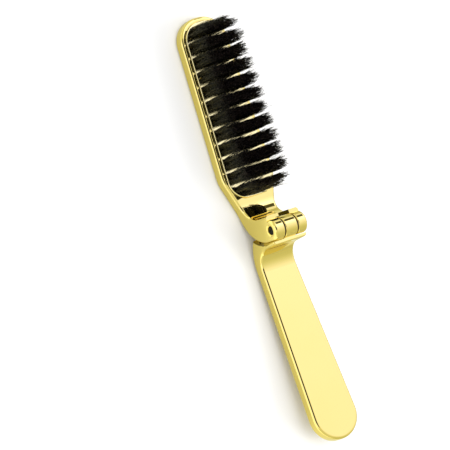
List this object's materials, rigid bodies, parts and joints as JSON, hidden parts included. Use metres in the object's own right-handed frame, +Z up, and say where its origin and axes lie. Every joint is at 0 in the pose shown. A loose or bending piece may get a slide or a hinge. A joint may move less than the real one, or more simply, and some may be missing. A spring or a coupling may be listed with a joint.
{
  "type": "folding travel brush",
  "caption": "Folding travel brush in polished gold metal: a bristle head and a handle, each with a J-shaped foot, meet in a forked pin hinge and fold flat together.",
  "frame": {"origin": "on the floor that the back of the head lies on, under the middle of the brush's length and width", "axes": "+X along the opened brush towards the head, +Y across its width, +Z up, the way the bristles point"},
  "size_m": [0.1886, 0.026, 0.0265],
  "materials": {
    "gold_casting": "polished",
    "gold_insert": "gloss",
    "adhesive_film": "matte",
    "pin_steel": "satin",
    "washer_polymer": "matte",
    "anchor_wire": "satin",
    "black_bristle": "satin"
  },
  "bodies": {
    "head": {"head_frame": "gold_casting", "bristle_plate": "gold_insert", "plate_adhesive": "adhesive_film", "hinge_pin": "pin_steel", "friction_washer_left": "washer_polymer", "friction_washer_right": "washer_polymer", "tuft_anchors": "anchor_wire", "tuft_band_01": "black_bristle", "tuft_band_02": "black_bristle", "tuft_band_03": "black_bristle", "tuft_band_04": "black_bristle", "tuft_band_05": "black_bristle", "tuft_band_06": "black_bristle", "tuft_band_07": "black_bristle", "tuft_band_08": "black_bristle", "tuft_band_09": "black_bristle", "tuft_band_10": "black_bristle", "tuft_band_11": "black_bristle", "tuft_band_12": "black_bristle"},
    "handle": {"handle": "gold_casting"}
  },
  "joints": [
    {"name": "fold", "type": "hinge", "parent": "head", "child": "handle", "pos_m": [-0.00169, 0, 0.0218], "axis": [0, 1, 0], "range_deg": [-5.8, 174.2]}
  ]
}
